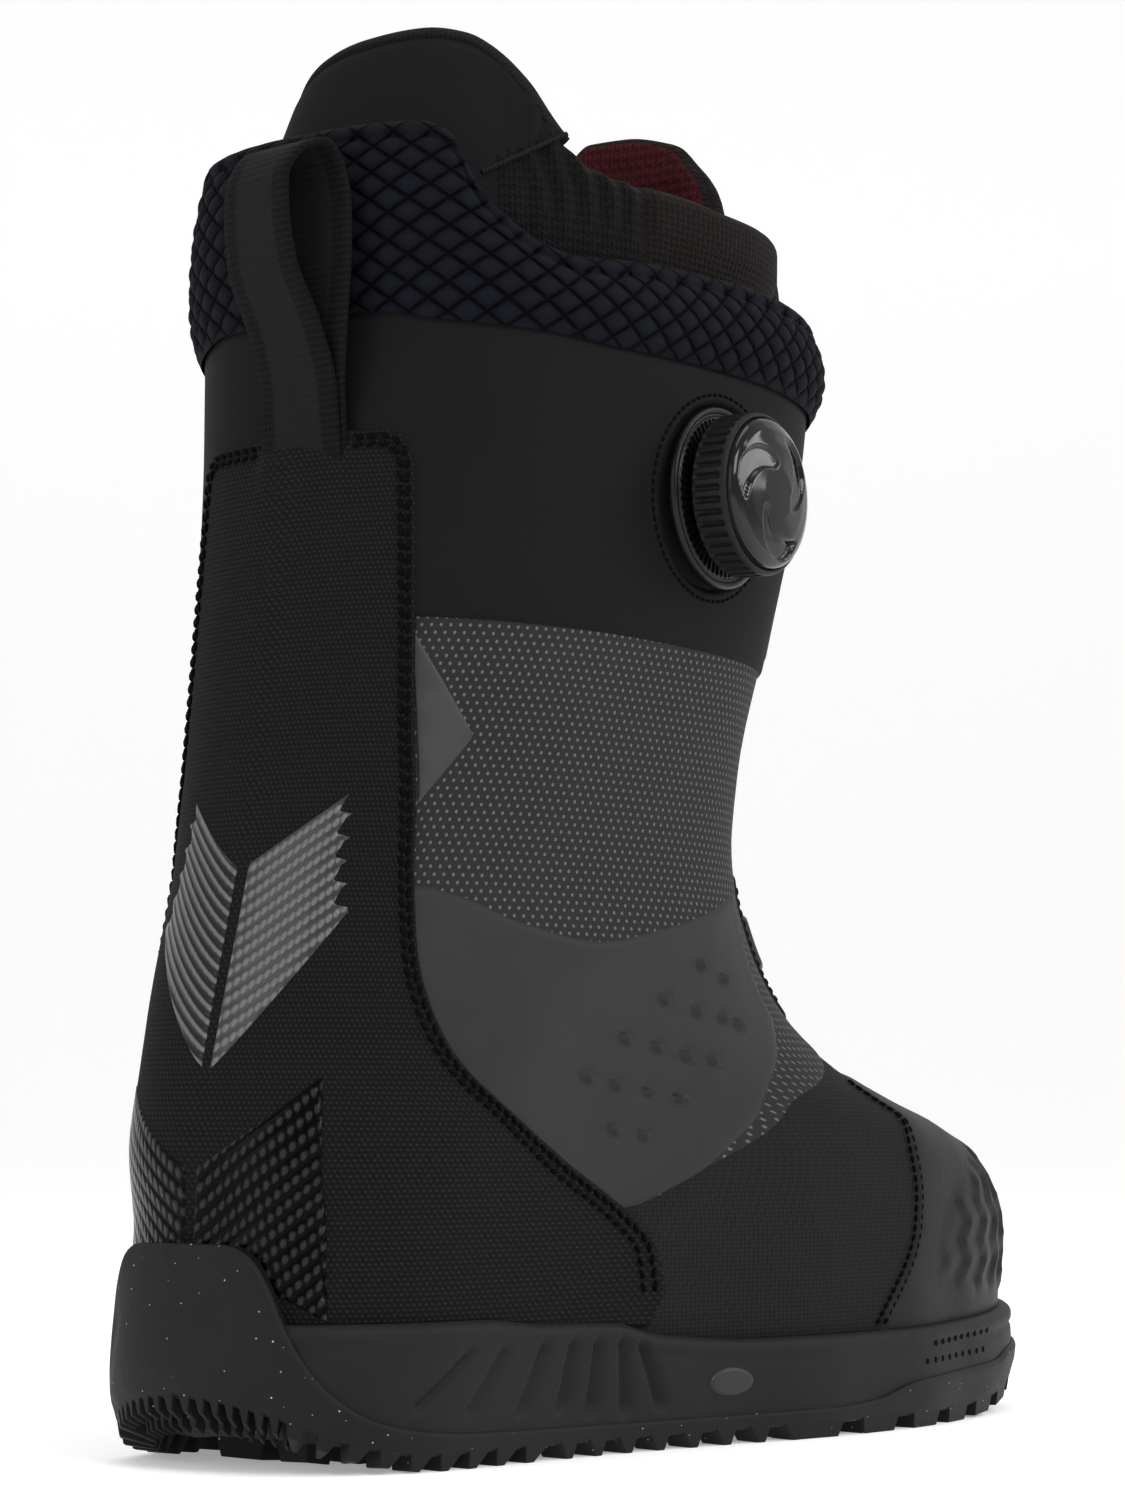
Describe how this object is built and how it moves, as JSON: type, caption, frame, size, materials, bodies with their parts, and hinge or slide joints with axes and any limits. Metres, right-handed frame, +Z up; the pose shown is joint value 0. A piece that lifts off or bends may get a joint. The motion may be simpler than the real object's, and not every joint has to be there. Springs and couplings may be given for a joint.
{
  "type": "snowboard boot",
  "caption": "Right snowboard boot with flexing cuff, side lacing dial and steel lace, heel pull loop, padded collar and inner boot on a lugged rubber sole.",
  "frame": {"origin": "on the ground plane under the middle of the sole, at the flat arch of the outsole", "axes": "+Z up the shaft, -Y towards the toe, +X towards the medial (inner) side, so the dial is on the -X side"},
  "size_m": [0.1476, 0.3087, 0.3375],
  "materials": {
    "outsole_rubber": "matte, speckled",
    "midsole_foam": "matte foam",
    "fibre_board": "raw",
    "shank_steel": "satin",
    "toe_rubber": "satin",
    "vamp_fabric": "woven",
    "counter_plastic": "matte",
    "backstay_webbing": "woven",
    "tongue_fabric": "woven",
    "cuff_film": "matte",
    "collar_quilt": "quilted",
    "loop_webbing": "ribbed",
    "cable_steel": "stranded",
    "dial_gloss": "gloss",
    "dial_black": "satin",
    "dial_nylon": "matte",
    "grip_rubber": "matte",
    "liner_fabric": "padded knit",
    "footbed_fabric": "felt",
    "label_plastic": "satin",
    "ankle_film": "satin",
    "dotted_fabric": "printed dots",
    "silver_trim": "ribbed gloss",
    "black_trim": "ribbed gloss"
  },
  "bodies": {
    "lower_boot": {"outsole": "outsole_rubber", "midsole": "midsole_foam", "lasting_board": "fibre_board", "shank": "shank_steel", "toe_cap": "toe_rubber", "vamp": "vamp_fabric", "heel_counter": "counter_plastic", "backstay": "backstay_webbing", "shell_tongue": "tongue_fabric", "lace_cable": "cable_steel", "liner_shell": "liner_fabric", "liner_tongue": "liner_fabric", "footbed": "footbed_fabric", "midsole_badge_lateral": "label_plastic", "quarter_lateral": "vamp_fabric", "ankle_panel_lateral": "ankle_film", "flex_panel_lateral": "dotted_fabric", "instep_eyestay_lateral": "backstay_webbing", "side_label_lateral": "label_plastic", "chevron_upper_lateral": "silver_trim", "chevron_lower_lateral": "black_trim", "midsole_badge_medial": "label_plastic", "quarter_medial": "vamp_fabric", "ankle_panel_medial": "ankle_film", "flex_panel_medial": "dotted_fabric", "instep_eyestay_medial": "backstay_webbing", "side_label_medial": "label_plastic", "chevron_upper_medial": "silver_trim", "chevron_lower_medial": "black_trim", "lace_guide_instep_medial": "dial_black", "lace_guide_instep_lateral": "dial_black", "lace_guide_toe_medial": "dial_black"},
    "cuff": {"cuff_shell": "cuff_film", "collar": "collar_quilt", "cuff_eyestay_lateral": "backstay_webbing", "cuff_eyestay_medial": "backstay_webbing", "lace_guide_cuff_medial": "dial_black", "lace_guide_cuff_lateral": "dial_black", "dial_flange": "dial_gloss", "dial_housing": "dial_black", "dial_axle": "shank_steel", "dial_ratchet_ring": "dial_nylon"},
    "dial_slider": {"dial_bushing": "dial_nylon"},
    "dial_knob": {"dial_knob": "dial_black", "dial_grip": "grip_rubber", "dial_cap": "dial_gloss", "dial_pawl_disc": "dial_nylon", "dial_spring_washer": "shank_steel"},
    "dial_spool": {"dial_spool": "dial_nylon"},
    "pull_loop": {"pull_loop": "loop_webbing"}
  },
  "joints": [
    {"name": "cuff_flex", "type": "hinge", "parent": "lower_boot", "child": "cuff", "pos_m": [0, 0.015, 0.105], "axis": [1, 0, 0], "range_deg": [-4, 12], "stiffness_Nm_per_rad": 70, "deforming": ["backstay", "shell_tongue", "flex_panel_lateral", "flex_panel_medial", "side_label_lateral", "side_label_medial", "lace_cable", "liner_shell", "liner_tongue"]},
    {"name": "knob_pull", "type": "slide", "parent": "cuff", "child": "dial_slider", "axis": [-0.9945, -0.1048, 0], "range_m": [0, 0.0035]},
    {"name": "knob_turn", "type": "hinge", "parent": "dial_slider", "child": "dial_knob", "pos_m": [-0.0606, 0.026, 0.228], "axis": [-0.9945, -0.1048, 0], "continuous": true},
    {"name": "spool_turn", "type": "hinge", "parent": "cuff", "child": "dial_spool", "pos_m": [-0.0606, 0.026, 0.228], "axis": [-0.9945, -0.1048, 0], "continuous": true},
    {"name": "loop_swing", "type": "hinge", "parent": "cuff", "child": "pull_loop", "pos_m": [0, 0.1215, 0.2395], "axis": [-1, 0, 0], "range_deg": [0, 70]}
  ],
  "couplings": [
    {"joint": "spool_turn", "follows": "knob_turn", "ratio": 1}
  ]
}
